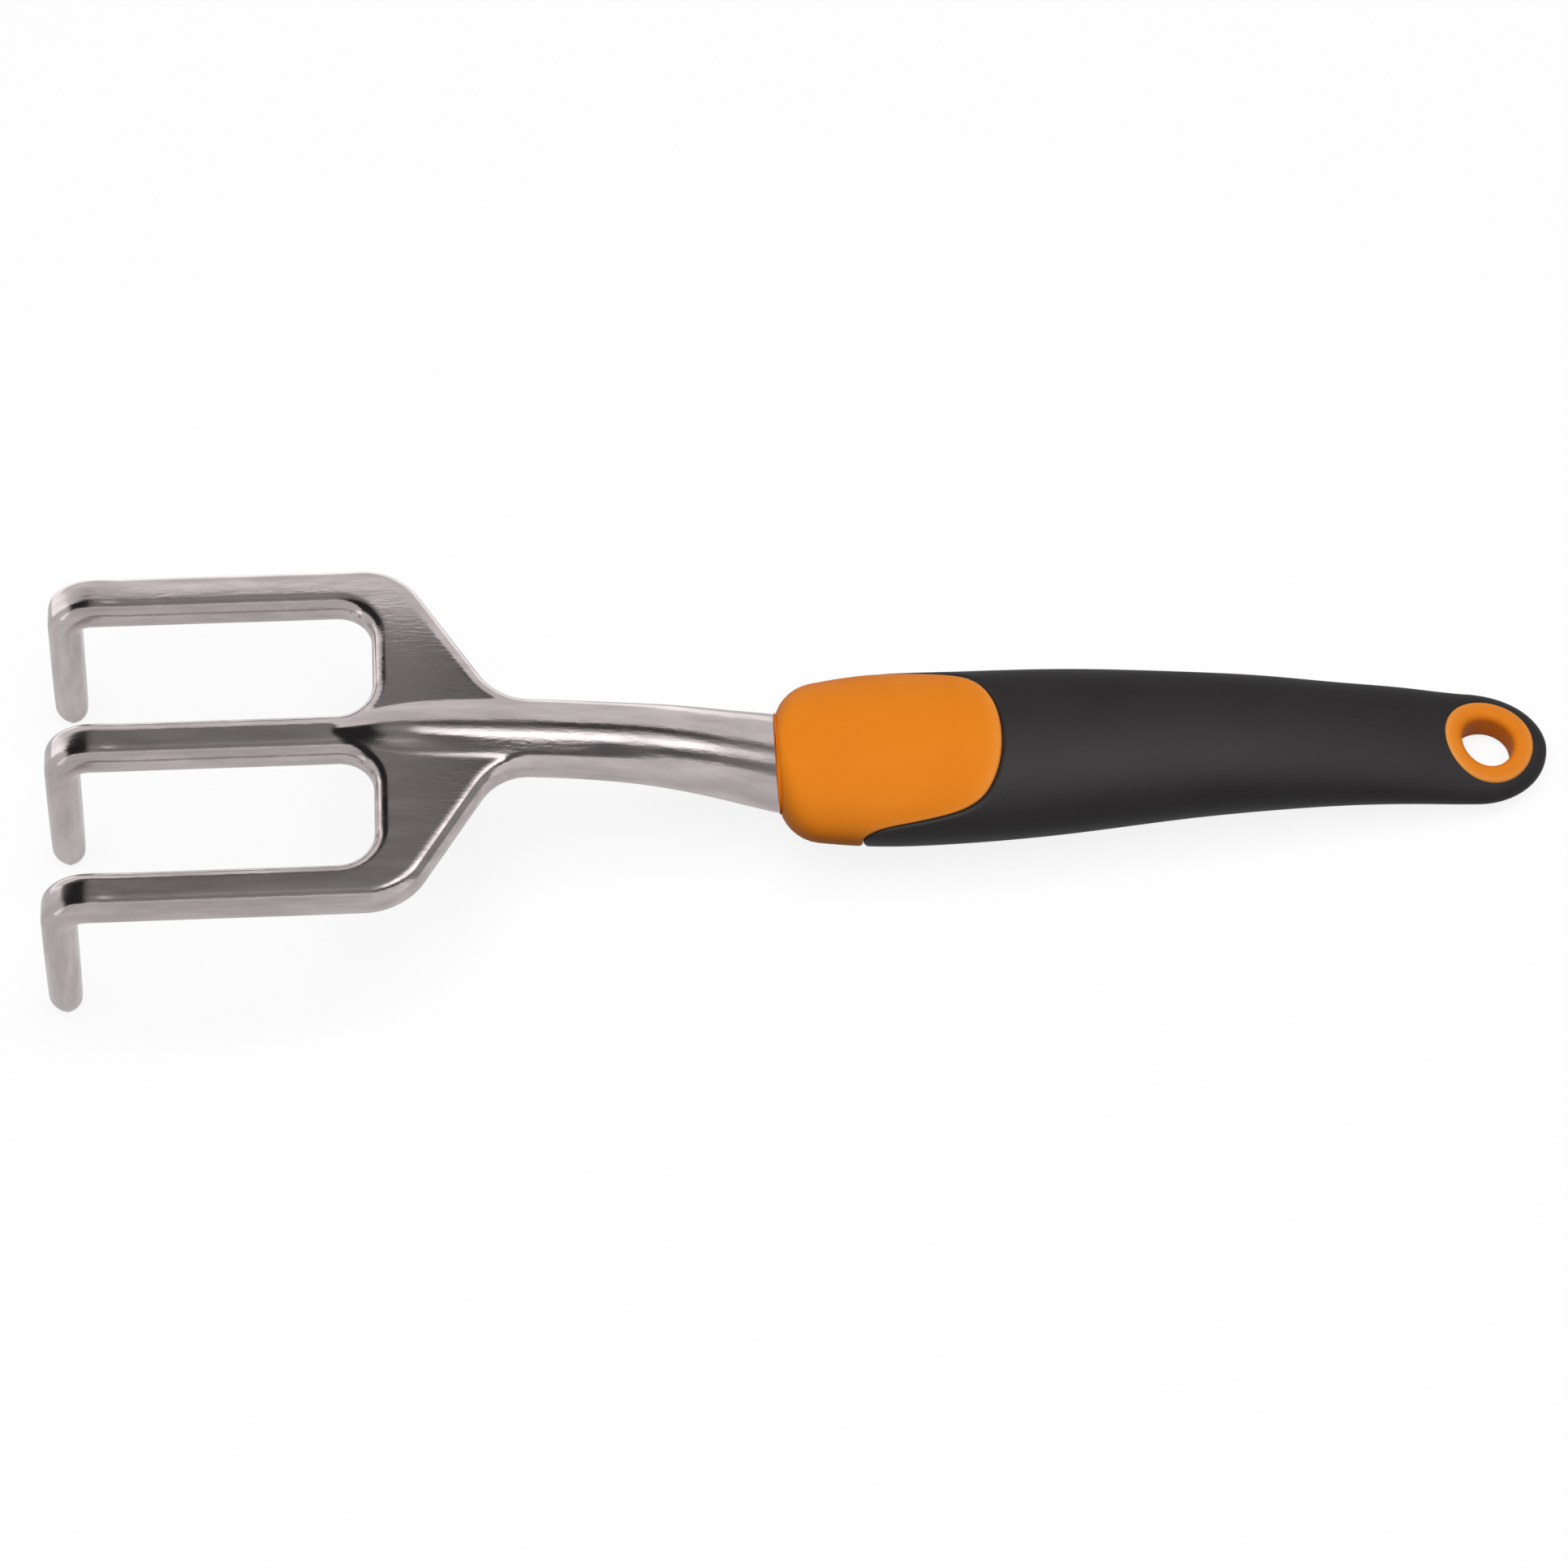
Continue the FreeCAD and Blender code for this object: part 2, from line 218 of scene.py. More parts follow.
# %% Head: side curve
TINE_SLOPE, HOOK_LEAN = math.radians(3.7), math.radians(6.6)
TINE_TOP, HOOK_TIP_RADIUS = 45.2, 3.1
BEND_MIDDLE_RADIUS = 9.0 - HALF_THICKNESS
bar_ahead = np.array([84.0, 104.0, 124.0, 144.0])
bar_height = TINE_TOP - HALF_THICKNESS / math.cos(TINE_SLOPE) - math.tan(TINE_SLOPE) * (REACH - bar_ahead)
SIDE_AHEAD = np.concatenate([[-7, 0, 8, 20, 32, 44, 54, 64, 74], bar_ahead])
SIDE_HEIGHT = np.concatenate([[14.67, 18.0, 21.7, 26.9, 30.6, 33.3, 35.0, 36.35, 37.4], bar_height])

hook_way = np.array([math.sin(HOOK_LEAN), -math.cos(HOOK_LEAN)])
hook_foot = np.array([REACH - HALF_THICKNESS * math.cos(HOOK_LEAN),
                      HOOK_TIP_RADIUS - HALF_THICKNESS * math.sin(HOOK_LEAN)])
bar_way = np.array([math.cos(TINE_SLOPE), math.sin(TINE_SLOPE)])
bar_point = np.array([bar_ahead[-1], bar_height[-1]])
across = bar_way[0] * hook_way[1] - bar_way[1] * hook_way[0]
gap = hook_foot - bar_point
corner = bar_point + bar_way * (gap[0] * hook_way[1] - gap[1] * hook_way[0]) / across
TURN = math.pi / 2 + TINE_SLOPE - HOOK_LEAN
tangent = BEND_MIDDLE_RADIUS * math.tan(TURN / 2)
BEND_START = corner[0] - tangent * bar_way[0]
BEND_END = BEND_START + BEND_MIDDLE_RADIUS * TURN
bend_begin = corner - tangent * bar_way
bend_centre = bend_begin + BEND_MIDDLE_RADIUS * np.array([bar_way[1], -bar_way[0]])
hook_begin = corner + tangent * hook_way
TIP_END = BEND_END + (hook_begin[1] / -hook_way[1])


def head_place(u, n):
    """Ahead distance and height of a point n above the side curve at u. On the spline n is set off
    square to it; in the bend the angle grows evenly with u; on the hook the curve is straight."""
    h = 0.01
    spread = np.clip(u, SIDE_AHEAD[0], BEND_START)
    higher = spline(spread + h, SIDE_AHEAD, SIDE_HEIGHT)
    lower = spline(spread - h, SIDE_AHEAD, SIDE_HEIGHT)
    fall = (higher - lower) / (2 * h)
    size = np.sqrt(1 + fall * fall)
    neck_ahead = spread - n * fall / size + np.minimum(u - spread, 0)
    neck_high = spline(spread, SIDE_AHEAD, SIDE_HEIGHT) + n / size
    angle = np.clip((u - BEND_START) / BEND_MIDDLE_RADIUS, 0, TURN) - TINE_SLOPE
    reach = BEND_MIDDLE_RADIUS + n
    past = np.maximum(u - BEND_END, 0)
    bend_ahead = bend_centre[0] + reach * np.sin(angle) + past * hook_way[0]
    bend_high = bend_centre[1] + reach * np.cos(angle) + past * hook_way[1]
    on_neck = u < BEND_START
    return np.where(on_neck, neck_ahead, bend_ahead), np.where(on_neck, neck_high, bend_high)


print(f"bend from u = {BEND_START:.1f} to {BEND_END:.1f} mm, tips at u = {TIP_END:.1f} mm")

# %% [markdown]
# ## The head's flat shape
# Straightened out, the head is a plate with a spine on it. The plate's outline is one tine repeated
# at the spacing, two round-ended slots, slanted shoulders and a root that runs into the neck, with
# every corner rounded. The spine is a long oval bar whose pointed nose rises between the tines. A
# foundry casts it so and then grinds and buffs it, which leaves soft edges all round.

# %% Head: distance formula
SHOULDER_ANGLE = math.radians(58.0)
SHOULDER_FOOT, ROOT_HALF_WIDTH, CROTCH = 53.0, 7.9, 77.0
NECK_AHEAD = [-7, 0, 8, 20, 32, 44, 54, 64, 74, 84]
NECK_HALF_WIDTH = [10.6, 10.5, 9.8, 8.9, 8.0, 7.6, 7.3, 6.7, 5.6, 4.4]
NECK_HALF_HEIGHT = [6.6, 6.5, 6.2, 5.6, 4.9, 4.6, 4.6, 4.8, 5.1, 5.3]
NOSE_START, NOSE_LENGTH = 68.0, 19.0
TAPER_START = TIP_END - 26.0


def plate_outline(u, y):
    """Distance to the head's outline seen from above: shoulders and root, less the two slots, and
    cut to round-ended fingers that narrow as the square of the way to the tip."""
    side = np.abs(y)
    outer = TINE_SPACING + TINE_HALF_WIDTH
    edge = side - outer
    lean = math.cos(SHOULDER_ANGLE)
    shoulder = (side - ROOT_HALF_WIDTH) * lean - (u - SHOULDER_FOOT) * math.sin(SHOULDER_ANGLE)
    web = rounded(edge, joined(shoulder, side - ROOT_HALF_WIDTH, 11.3, lean), 13.7, lean)
    slot_middle, slot_half = TINE_SPACING / 2, TINE_SPACING / 2 - TINE_HALF_WIDTH
    slot = rounded(np.abs(side - slot_middle) - slot_half, CROTCH - u, 7.0)
    taper = np.clip((u - TAPER_START) / (TIP_END - TAPER_START), 0, 1)
    from_tine = np.abs(y - TINE_SPACING * np.clip(np.round(y / TINE_SPACING), -1, 1))
    finger = from_tine - TINE_HALF_WIDTH + 2.1 * taper**2 - np.maximum(TAPER_START - 5 - u, 0)
    tip = rounded(finger, u - TIP_END, 2.4)
    return np.maximum(np.maximum(web, -slot), tip)


def head_formula(u, y, n):
    """The plate, with its edges rounded where outline and thickness meet, joined by a fillet to the
    spine: an ellipse across, whose size follows two splines and whose nose is half an ellipsoid. The
    tines are crowned a little, thicker at the bend's knuckle and thinner towards the tip."""
    hook = np.clip((u - BEND_END) / (TIP_END - BEND_END), 0, 1)
    from_tine = y - TINE_SPACING * np.clip(np.round(y / TINE_SPACING), -1, 1)
    crown = 0.15 * np.clip(from_tine / TINE_HALF_WIDTH, -1, 1)**2 * np.clip((u - CROTCH) / 8, 0, 1)
    knuckle = 0.3 * np.exp(-((u - BEND_START + 1.5) / 3.2)**2)
    point = 1.8 * np.clip((u - TIP_END) / 4.5 + 1, 0, 1)**2
    above, below = HALF_THICKNESS - crown + knuckle - point, HALF_THICKNESS - point
    thick = np.where(n > 0, n - above, -n - below)
    soft = np.where(n > 0, 2.9, 2.3) + 0.3 * hook**2
    plate = rounded(plate_outline(u, y), thick, soft)
    wide = spline(np.clip(u, -7, 84), NECK_AHEAD, NECK_HALF_WIDTH)
    tall = spline(np.clip(u, -7, 84), NECK_AHEAD, NECK_HALF_HEIGHT)
    nose = np.maximum(u - NOSE_START, 0) / NOSE_LENGTH
    ring = np.sqrt((y / wide)**2 + (n / tall)**2 + nose**2)
    slope = np.sqrt((y / wide**2)**2 + (n / tall**2)**2 + (nose / NOSE_LENGTH)**2)
    spine = ring * (ring - 1) / np.maximum(slope, 0.02)
    return np.maximum(joined(plate, spine, 1.0), -7 - u)


head_points, head_quads = cell_mesh(head_formula, (-8, -39, -8), (TIP_END + 2, 39, 8), (0.55, 0.55, 0.5))
u, y, n = head_points.T
ahead, height = head_place(u, n)
print("head:", len(head_points), "points,", len(head_quads), "quads")
print("lowest point of the head:", round(float(height.min()), 3), "mm")

# %% [markdown]
# ## The tang
# Behind the collar the casting goes on as a flat bar inside the handle. It is never seen, but it is
# what holds the head on, so it is made too: a rounded rectangle carried along a falling line.

# %% Tang
def ring_faces(rows, columns, turn_over=False):
    """Quads between neighbouring rows of a grid whose last column joins its first."""
    i, j = np.meshgrid(np.arange(rows - 1), np.arange(columns), indexing="ij")
    a, b = i * columns + j, i * columns + (j + 1) % columns
    quads = np.stack([a, b, b + columns, a + columns], axis=-1).reshape(-1, 4)
    return quads[:, ::-1] if turn_over else quads


TANG_LENGTH = 72.0
way = np.array([0.0, 0, 0.02, 0.06, 0.2, 0.4, 0.6, 0.8, 0.96, 0.99, 1, 1])[:, None]
swell = np.array([0, 0.8, 0.95, 1, 1, 1, 1, 1, 1, 0.95, 0.8, 0])[:, None]
turn = np.linspace(0, 2 * math.pi, 32, endpoint=False)
square = (np.abs(np.cos(turn))**4 + np.abs(np.sin(turn))**4)**-0.25
tang_x = COLLAR_X - 3 + (TANG_LENGTH + 3) * way + 0 * turn
tang_y = swell * (6.5 - 2 * way) * square * np.sin(turn)
tang_z = 18.0 - 3.6 * way + swell * (4 - way) * square * np.cos(turn)
tang_points = np.stack([tang_x, tang_y, tang_z], axis=-1).reshape(-1, 3)
tang_quads = ring_faces(len(way), len(turn), turn_over=True)
print("tang:", len(tang_points), "points, to x =", round(float(tang_x.max()), 1), "mm")

# %% [markdown]
# ## The handle's curve and sections
# The handle swells where the palm closes on it, thins towards its end and finishes as a flat round
# tongue. A pattern maker would give it as a centre curve with a section at each of ten stations, and
# the same ten stations are splined here: height, half width, rise above the widest line and depth
# below it. Both mouldings use this one surface, so they meet flush.

# %% Handle curve and sections
END_LENGTH = 14.5
END_START = HANDLE - END_LENGTH
HANDLE_AT = [0.0, 16.5, 33.0, 56.4, 79.8, 96.3, 111.4, 125.1, 137.5, 152.0]
HANDLE_HEIGHT = [17.7, 17.2, 16.3, 15.8, 15.0, 13.5, 11.1, 8.4, 5.44, 4.17]
HANDLE_HALF = [15.8, 18.3, 18.6, 17.8, 15.9, 14.7, 13.6, 13.0, 12.4, 12.2]
HANDLE_RISE = [8.8, 9.6, 9.5, 9.1, 8.4, 7.4, 6.1, 4.9, 4.2, 3.8]
HANDLE_DEPTH = [10.8, 12.2, 12.5, 12.0, 10.6, 9.2, 7.6, 6.1, 5.2, 4.7]


def handle_size(u, inset):
    """Half width, rise and depth of the section at u, each less its inset. Over the round end they
    shrink with the square root, and the 0.3 power, of one less the square of the way along it."""
    side, top, bottom = inset if isinstance(inset, tuple) else (inset, inset, inset)
    t = np.clip((u - END_START) / END_LENGTH, 0, 1)
    flat = (1 - t * t)**0.3
    return ((spline(u, HANDLE_AT, HANDLE_HALF) - side) * np.sqrt(1 - t * t),
            (spline(u, HANDLE_AT, HANDLE_RISE) - top) * flat,
            (spline(u, HANDLE_AT, HANDLE_DEPTH) - bottom) * flat)


def handle_place(u, y, n):
    """Points y across and n square to the handle's curve at u: the section leans back with it."""
    h = 0.01
    height = spline(u, HANDLE_AT, HANDLE_HEIGHT)
    fall = (spline(u + h, HANDLE_AT, HANDLE_HEIGHT) - spline(u - h, HANDLE_AT, HANDLE_HEIGHT)) / (2 * h)
    size = np.sqrt(1 + fall * fall)
    return np.stack(np.broadcast_arrays(COLLAR_X + u - n * fall / size, y, height + n / size), axis=-1)


def handle_surface(u, angle, inset=0.0):
    """Point of the handle at u and an angle from its crest: half width times the sine across, and
    rise or depth times the cosine up or down. An inset also draws the round end in."""
    half, rise, depth = handle_size(u, inset)
    deepest = inset[0] if isinstance(inset, tuple) else inset
    t = np.clip((u - END_START) / END_LENGTH, 0, 1)
    up = np.where(np.cos(angle) > 0, rise, depth) * np.cos(angle)
    return handle_place(u - t * deepest, half * np.sin(angle), up)


print("widest:", [round(float(v), 2) for v in handle_size(np.array(24.0), 0.0)], "mm half, rise, depth")

# %% [markdown]
# ## The seam
# The handle is moulded in two shots: orange hard plastic first, then a soft grip over it. The orange
# stays bare as a collar with a round thumb rest on top, so the seam between the two is one curve on
# the handle's surface, drawn here by its angle round the section and its distance from the collar.

# %% Seam
SEAM_ANGLE = np.radians([-35, -20, 0, 20, 35, 48, 57, 63, 68, 74, 82, 92, 110, 140, 180, 220])
SEAM_AT = np.array([41.7, 43.3, 44.0, 43.3, 41.7, 39.2, 35.5, 30.5, 25, 20, 17.2, 16.1, 16, 16, 16, 16])
MEAN_RADIUS = 15.0
SEAM_COLUMNS = 120
seam_steps = np.hypot(np.diff(SEAM_ANGLE) * MEAN_RADIUS, np.diff(SEAM_AT))
seam_way = np.concatenate([[0], np.cumsum(seam_steps)])
crest_way, keel_way = seam_way[2], seam_way[-2]
along_seam = np.linspace(crest_way, keel_way, SEAM_COLUMNS + 1)
column_angle = spline(along_seam, seam_way, SEAM_ANGLE)
column_angle[0], column_angle[-1] = 0, math.pi
column_seam = spline(along_seam, seam_way, SEAM_AT)
lengthwise = np.abs(np.gradient(column_seam, along_seam))
steepness = np.sqrt(1 - np.clip(lengthwise, 0, 0.97)**2)
SEAM_EDGE = 0.9
GRIP_WALL = 3.0
print(f"seam {keel_way - crest_way:.0f} mm on each side, {SEAM_COLUMNS} steps")


def edge_rows(radius, steps=8):
    """A quarter circle from the wall of the seam to the surface: (distance from seam, depth)."""
    turn = np.linspace(0, math.pi / 2, steps)
    return radius * (1 - np.cos(turn)), radius * (1 - np.sin(turn))


# %% [markdown]
# ## The orange core
# One grid covers the whole core. Its rows run out of the neck's socket, over the collar's rounded
# front edge, back to the seam, round the seam's edge, down the step of the grip's wall and along the
# hidden spine. Its columns go round the handle and follow the seam's own spacing.

# %% Core: rows and columns
full_angle = np.concatenate([column_angle, 2 * math.pi - column_angle[-2:0:-1]])
full_seam = np.concatenate([column_seam, column_seam[-2:0:-1]])
full_steep = np.concatenate([steepness, steepness[-2:0:-1]])
SOCKET = 7.5
SPINE_END = 132.0
FIT = 0.05
FAR = 9.0
RIM_SIDE, RIM_TOP, RIM_BOTTOM = 7.6, 1.8, 3.8


def socket_row(u, grow):
    """Ellipse of the neck's section, grown a little, where it passes through the collar at u."""
    rise = np.interp(u, [0, SOCKET], [0.3, -3.0])
    half, tall = 10.5 + grow, 7.15 + grow
    return handle_place(u + 0 * full_angle, half * np.sin(full_angle), rise + tall * np.cos(full_angle))


def collar_rim(steps=9):
    """Rows over the collar's front edge: a quarter ellipse whose depth follows the angle."""
    turn = np.linspace(0, math.pi / 2, steps)[:, None]
    low = np.where(np.cos(full_angle) > 0, RIM_TOP, RIM_BOTTOM)
    depth = np.hypot(RIM_SIDE * np.sin(full_angle), low * np.cos(full_angle))
    u = depth * (1 - np.cos(turn))
    left = 1 - np.sin(turn)
    return handle_surface(u, full_angle, (RIM_SIDE * left, RIM_TOP * left, RIM_BOTTOM * left)), depth


pole = handle_place(np.full(len(full_angle), SOCKET), 0.0, -3.0)
front = [pole] + [socket_row(SOCKET, g) for g in (-6, -2, 0.0)]
front += [socket_row(u, g) for u, g in ((5, 0.05), (2.5, 0.05), (0.5, 0.05), (0.2, 0.14), (0, 0.4))]
rim, rim_depth = collar_rim()
edge_off, edge_in = edge_rows(SEAM_EDGE)
share = np.linspace(0, 1, 30)[1:, None]
body_u = rim_depth + (full_seam - SEAM_EDGE / full_steep - rim_depth) * share
body = handle_surface(body_u, full_angle)
edge_u = full_seam - FIT - edge_off[::-1, None] / full_steep
edge = handle_surface(edge_u[1:], full_angle, edge_in[::-1][1:, None] + 0 * full_angle)
spine_u = full_seam - FIT + (SPINE_END - full_seam) * np.linspace(0, 1, 16)[:, None]
spine = handle_surface(spine_u, full_angle, GRIP_WALL + 0.1)
close = handle_surface(SPINE_END + 0 * full_angle, full_angle, 4.0)
end_pole = handle_place(np.full(len(full_angle), SPINE_END), 0.0, 0.0)
core_rows = np.concatenate([np.array(front), rim, body, edge, spine, close[None], end_pole[None]])
core_points = core_rows.reshape(-1, 3)
core_quads = ring_faces(len(core_rows), len(full_angle))
from_seam = np.concatenate([np.full(len(front) * len(full_angle), FAR),
                            np.full(rim.shape[0] * rim.shape[1], FAR),
                            ((full_seam - body_u) * full_steep).ravel(),
                            ((full_seam - edge_u[1:]) * full_steep).ravel(),
                            np.full((len(spine) + 2) * len(full_angle), 0.0)])
print("core:", core_rows.shape[0], "rows of", core_rows.shape[1])

# %% [markdown]
# ## The hang ring
# At the rear end the core comes to the surface again as a ring around the hole for a peg. The ring
# is a closed profile turned round the hole's axis, but its top and bottom follow the handle's own
# surface, so it stays level with the grip, and both mouths of the bore are trumpet shaped.

# %% Hang ring
HOLE_FROM_END = 12.2
HOLE_AT = HANDLE - HOLE_FROM_END
BORE, RING = 5.3, 9.3
PROUD = 0.12


def ring_profile(outer_edge=0.6, mouth=2.0):
    """Radius and sink of one face of the ring, from its outer edge over the flat to the bore."""
    turn = np.linspace(0, math.pi / 2, 7)
    radius = np.concatenate([RING - outer_edge * (1 - np.cos(turn)),
                             np.linspace(RING - outer_edge, BORE + mouth, 6)[1:-1],
                             BORE + mouth * (1 - np.sin(turn))])
    sink = np.concatenate([outer_edge * (1 - np.sin(turn)), np.zeros(4), mouth * (1 - np.cos(turn))])
    return radius, sink


def ring_face(side, proud, radius, sink):
    """The profile turned round the hole, on the handle's top (side 1) or bottom (side -1)."""
    turn = np.linspace(0, 2 * math.pi, 120, endpoint=False)
    u, y = HOLE_AT + radius[:, None] * np.cos(turn), radius[:, None] * np.sin(turn)
    half, rise, depth = handle_size(u, 0.0)
    level = (rise if side > 0 else depth) * np.sqrt(np.clip(1 - (y / half)**2, 0.02, 1))
    return handle_place(u, y, side * (level + proud - sink[:, None]))


radius, sink = ring_profile()
top_face, bottom_face = ring_face(1, PROUD, radius, sink), ring_face(-1, PROUD, radius, sink)
wall = top_face[-1] + (bottom_face[-1] - top_face[-1]) * np.linspace(0, 1, 6)[1:-1, None, None]
ring_rows = np.concatenate([top_face, wall, bottom_face[::-1], top_face[:1]])
ring_quads = ring_faces(len(ring_rows), ring_rows.shape[1], turn_over=True)
ring_points = ring_rows.reshape(-1, 3)
ring_edge = np.concatenate([radius - RING, np.full(4, -4.0), (radius - RING)[::-1], [0]])
print("hang ring:", ring_rows.shape[0], "rows of", ring_rows.shape[1])

# %% [markdown]
# ## The soft grip
# The grip is a sleeve with a wall. Half of it is one grid, whose rows come from the round end along
# the inside to the seam, over the seam's edge, and back along the outside to the end. Around the
# hang hole the columns start and stop at the hole's edge instead of at the crest and the keel. The
# other half is its mirror image, and the two are welded where they meet.

# %% Soft grip: one half
hole_turn = np.linspace(0, math.pi, 41)
HOLE_EDGE = RING + FIT
hole_rows = HOLE_AT - HOLE_EDGE * np.cos(hole_turn)
FIRST_COMMON = 62.0
near = column_seam + FIT + edge_off[:, None] / steepness
blend = np.linspace(0, 1, 18)[1:, None]**1.3
middle = near[-1] + (FIRST_COMMON - near[-1]) * blend
back_rows = np.concatenate([np.linspace(FIRST_COMMON, hole_rows[0], 46)[1:], hole_rows[1:],
                            END_START + END_LENGTH * np.sin(np.linspace(
                                math.asin((hole_rows[-1] - END_START) / END_LENGTH), math.pi / 2, 12))[1:]])
grip_u = np.concatenate([near, middle, np.repeat(back_rows[:, None], len(column_angle), axis=1)])
row_inset = np.concatenate([edge_in, np.zeros(len(grip_u) - len(edge_in))])[:, None]
inner_inset = np.interp(grip_u, [105, 128], [GRIP_WALL, 1.0])


def grip_angles(u, inset):
    """Column angles at u. Beside the hole they run from the hole's edge to its other side."""
    half = np.maximum(handle_size(u, inset)[0], 0.001)
    across = np.sqrt(np.maximum(HOLE_EDGE**2 - (u - HOLE_AT)**2, 0))
    start = np.arcsin(np.clip(across / half, 0, 1))
    return start + (math.pi - 2 * start) * column_angle / math.pi


outside = handle_surface(grip_u, grip_angles(grip_u, row_inset), row_inset)
inside = handle_surface(grip_u, grip_angles(grip_u, inner_inset), inner_inset)
half_rows = np.concatenate([inside[::-1], outside])
rows, columns = half_rows.shape[:2]
i, j = np.meshgrid(np.arange(rows - 1), np.arange(columns - 1), indexing="ij")
corner = i * columns + j
half_quads = np.stack([corner, corner + 1, corner + columns + 1, corner + columns], axis=-1).reshape(-1, 4)
beside_hole = np.flatnonzero(np.abs(grip_u[:-1, 0] + 0.01 - HOLE_AT) < HOLE_EDGE)
out_row, in_row = len(outside) + beside_hole, len(outside) - 1 - beside_hole
hole_wall = [np.stack([out_row, out_row + 1, in_row - 1, in_row], axis=1) * columns + c
             for c in (0, columns - 1)]
half_quads = np.concatenate([half_quads, hole_wall[0][:, ::-1], hole_wall[1]])
print("grip half:", rows, "rows of", columns, "and", len(beside_hole), "rows beside the hole")

# %% [markdown]
# ## The grip's other half, and welding
# A mould for a symmetrical grip has two equal halves. The second half here is the first with its
# sign changed across the tool. Welding merges the points that the halves share, closes the poles of
# the other pieces, and counts the open edges: a closed piece has none.

# %% Soft grip: both halves
half_points = half_rows.reshape(-1, 3)
grip_points = np.concatenate([half_points, half_points * [1, -1, 1]])
grip_quads = np.concatenate([half_quads, half_quads[:, ::-1] + len(half_points)])
seam_distance = (grip_u - column_seam) * steepness
half_from = np.concatenate([np.full(inside.shape[:2], FAR), seam_distance]).ravel()
grip_from = np.concatenate([half_from, half_from])
print("grip:", len(grip_points), "points in two halves")


def welded(thing, distance=1e-6):
    """Merges points that share a place, and turns every face outwards."""
    bm = bmesh.new()
    bm.from_mesh(thing.data)
    bmesh.ops.remove_doubles(bm, verts=bm.verts, dist=distance)
    bmesh.ops.dissolve_degenerate(bm, edges=bm.edges, dist=distance)
    bmesh.ops.recalc_face_normals(bm, faces=bm.faces)
    open_edges = sum(len(e.link_faces) != 2 for e in bm.edges)
    bm.to_mesh(thing.data)
    bm.free()
    thing.data.shade_smooth()
    print(thing.name, "points:", len(thing.data.vertices), "open edges:", open_edges)


# %% [markdown]
# ## Into Blender
# Until now the pieces were only arrays. Each becomes one mesh object whose points are already in
# place, so nothing has to be moved, turned or scaled afterwards. The head takes its straightened
# coordinates with it, for streaks that follow the metal. The mouldings take their nearness to an
# edge, which dies away over the reach of the wear and the painted edge highlight.

# %% Put the pieces into Blender
WEAR_AND_HIGHLIGHT_REACH = 0.8
TANG_MIDDLE = 19.0
head_all = np.concatenate([np.stack([COLLAR_X - ahead, y, height], axis=1), tang_points])
head_along = np.concatenate([head_points, tang_points - [COLLAR_X, 0, TANG_MIDDLE]])
head_faces = np.concatenate([head_quads, tang_quads + len(head_points)])
head = new_mesh_object("polished_head", head_all, head_faces, {"along": head_along * MM})
# Nearness to the ring's edges, which drives wear and a painted highlight on its rims.
ring_wear_and_highlight = np.repeat(np.exp(ring_edge / WEAR_AND_HIGHLIGHT_REACH), ring_rows.shape[1])
core_edge = np.concatenate([np.exp(-from_seam / WEAR_AND_HIGHLIGHT_REACH), ring_wear_and_highlight])
core = new_mesh_object("orange_core", np.concatenate([core_points, ring_points]),
                       np.concatenate([core_quads, ring_quads + len(core_points)]),
                       {"edge": core_edge})
grip = new_mesh_object("charcoal_grip", grip_points, grip_quads, {"edge": np.exp(-grip_from / WEAR_AND_HIGHLIGHT_REACH)})
for thing in (head, core, grip):
    welded(thing)

# %% [markdown]
# ## Standing in for the CAD
# The CAD nodes stay where they are. Each is replaced in the picture by the piece that stands for it,
# which rides on the root body.

# %% Which piece stands for which CAD node
for thing, node, slot_name in ((head, "head_casting", "cast_head"),
                               (core, "handle_core", "rigid_core"),
                               (grip, "soft_grip", "soft_grip")):
    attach(thing, "root")
    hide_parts(node)
    print(thing.name, "replaces", node)

# %% [markdown]
# ## Two effects shared by the finishes
# Cast metal and moulded plastic look nothing alike, but both carry marks: faint broad patches from
# handling, and a fine grain that breaks up the light. One node group makes both, with its own size,
# stretch and strength in each material. A second group shows how edges wear first, and paints them
# paler as a highlight on their rims. A few helpers come before them, so that a node and its links
# take one line each.

# %% Node helpers
def node_group(name, inputs, outputs):
    """A shader node group with named sockets; inputs are (name, kind, value)."""
    group = bpy.data.node_groups.new(name, "ShaderNodeTree")
    for label, kind, value in inputs:
        socket = group.interface.new_socket(name=label, in_out="INPUT", socket_type="NodeSocket" + kind)
        socket.default_value = value
    for label, kind in outputs:
        group.interface.new_socket(name=label, in_out="OUTPUT", socket_type="NodeSocket" + kind)
    return group, group.nodes.new("NodeGroupInput").outputs, group.nodes.new("NodeGroupOutput").inputs


def add(tree, kind, links=None, **settings):
    """Adds a node, sets its properties, and fills or links its inputs by name or number."""
    made = tree.nodes.new("ShaderNode" + kind)
    for key, value in settings.items():
        setattr(made, key, value)
    for key, value in (links or {}).items():
        if isinstance(value, bpy.types.NodeSocket):
            tree.links.new(value, made.inputs[key])
        else:
            made.inputs[key].default_value = value
    return made


def calculate(tree, operation, *values):
    """A Math node with its inputs in order."""
    return add(tree, "Math", dict(enumerate(values)), operation=operation).outputs[0]


def blend_colours(tree, share, first, second):
    """Mix of two colours by share."""
    mix = add(tree, "Mix", {0: share, 6: first, 7: second}, data_type="RGBA")
    return mix.outputs[2]


def plug(tree, value, socket):
    """Links a socket to a socket, or sets a plain value."""
    if isinstance(value, bpy.types.NodeSocket):
        tree.links.new(value, socket)
    else:
        socket.default_value = value


print("node helpers ready")

# %% [markdown]
# ### Surface marks
# Buffing and moulding both leave a surface that is even from afar and uneven close up. The group
# mixes a broad noise and a fine noise into the colour, spreads the roughness with both, and hands the
# fine one on as a height for the bump.

